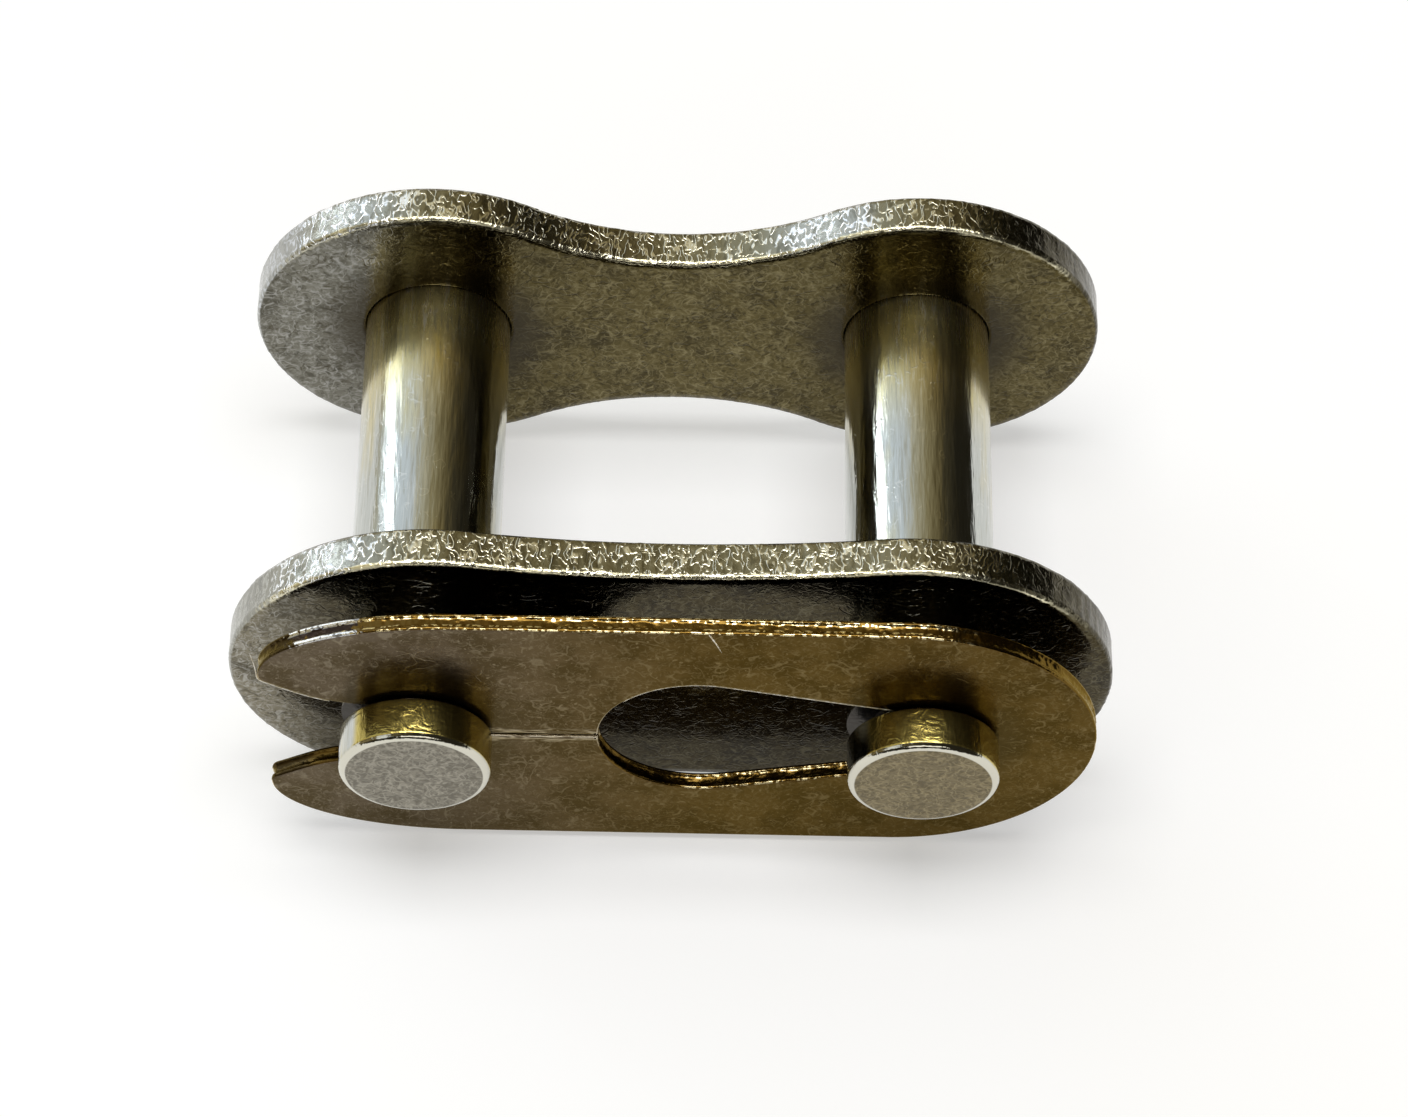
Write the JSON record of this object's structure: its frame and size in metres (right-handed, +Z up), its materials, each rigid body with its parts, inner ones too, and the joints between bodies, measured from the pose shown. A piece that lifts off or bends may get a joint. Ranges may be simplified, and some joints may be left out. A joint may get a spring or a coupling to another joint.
{
  "type": "roller chain connecting link",
  "caption": "Roller chain connecting link: waisted plate with riveted pins, loose cover plate on the pins, and a flat spring clip seated in grooves near the pins' ends.",
  "frame": {"origin": "on the surface that the link stands on, under the middle of its bounding box", "axes": "+X along the chain towards the clip's closed end, -Y out of the clip's side along the pins, +Z up, across the plates"},
  "size_m": [0.0336, 0.0228, 0.0158],
  "materials": {
    "link_plate_steel": "heat-treated and tumbled, dark grey-brown satin with bright rubbed edges",
    "cover_plate_steel": "heat-treated and tumbled, dark grey-brown satin with bright rubbed edges",
    "pin_steel": "ground and polished, with fine lengthwise marks and a faint straw tint",
    "clip_steel": "tempered spring strip, warm brown satin with amber sheared edges"
  },
  "bodies": {
    "link": {"link_plate": "link_plate_steel", "left_pin": "pin_steel", "right_pin": "pin_steel"},
    "cover": {"cover_plate": "cover_plate_steel"},
    "clip": {"spring_clip": "clip_steel"}
  },
  "joints": [
    {"name": "cover_slide", "type": "slide", "parent": "link", "child": "cover", "axis": [0, -1, 0], "range_m": [-0.01435, 0.0018]},
    {"name": "clip_release", "type": "slide", "parent": "link", "child": "clip", "axis": [1, 0, 0], "range_m": [0, 0.00838]}
  ]
}
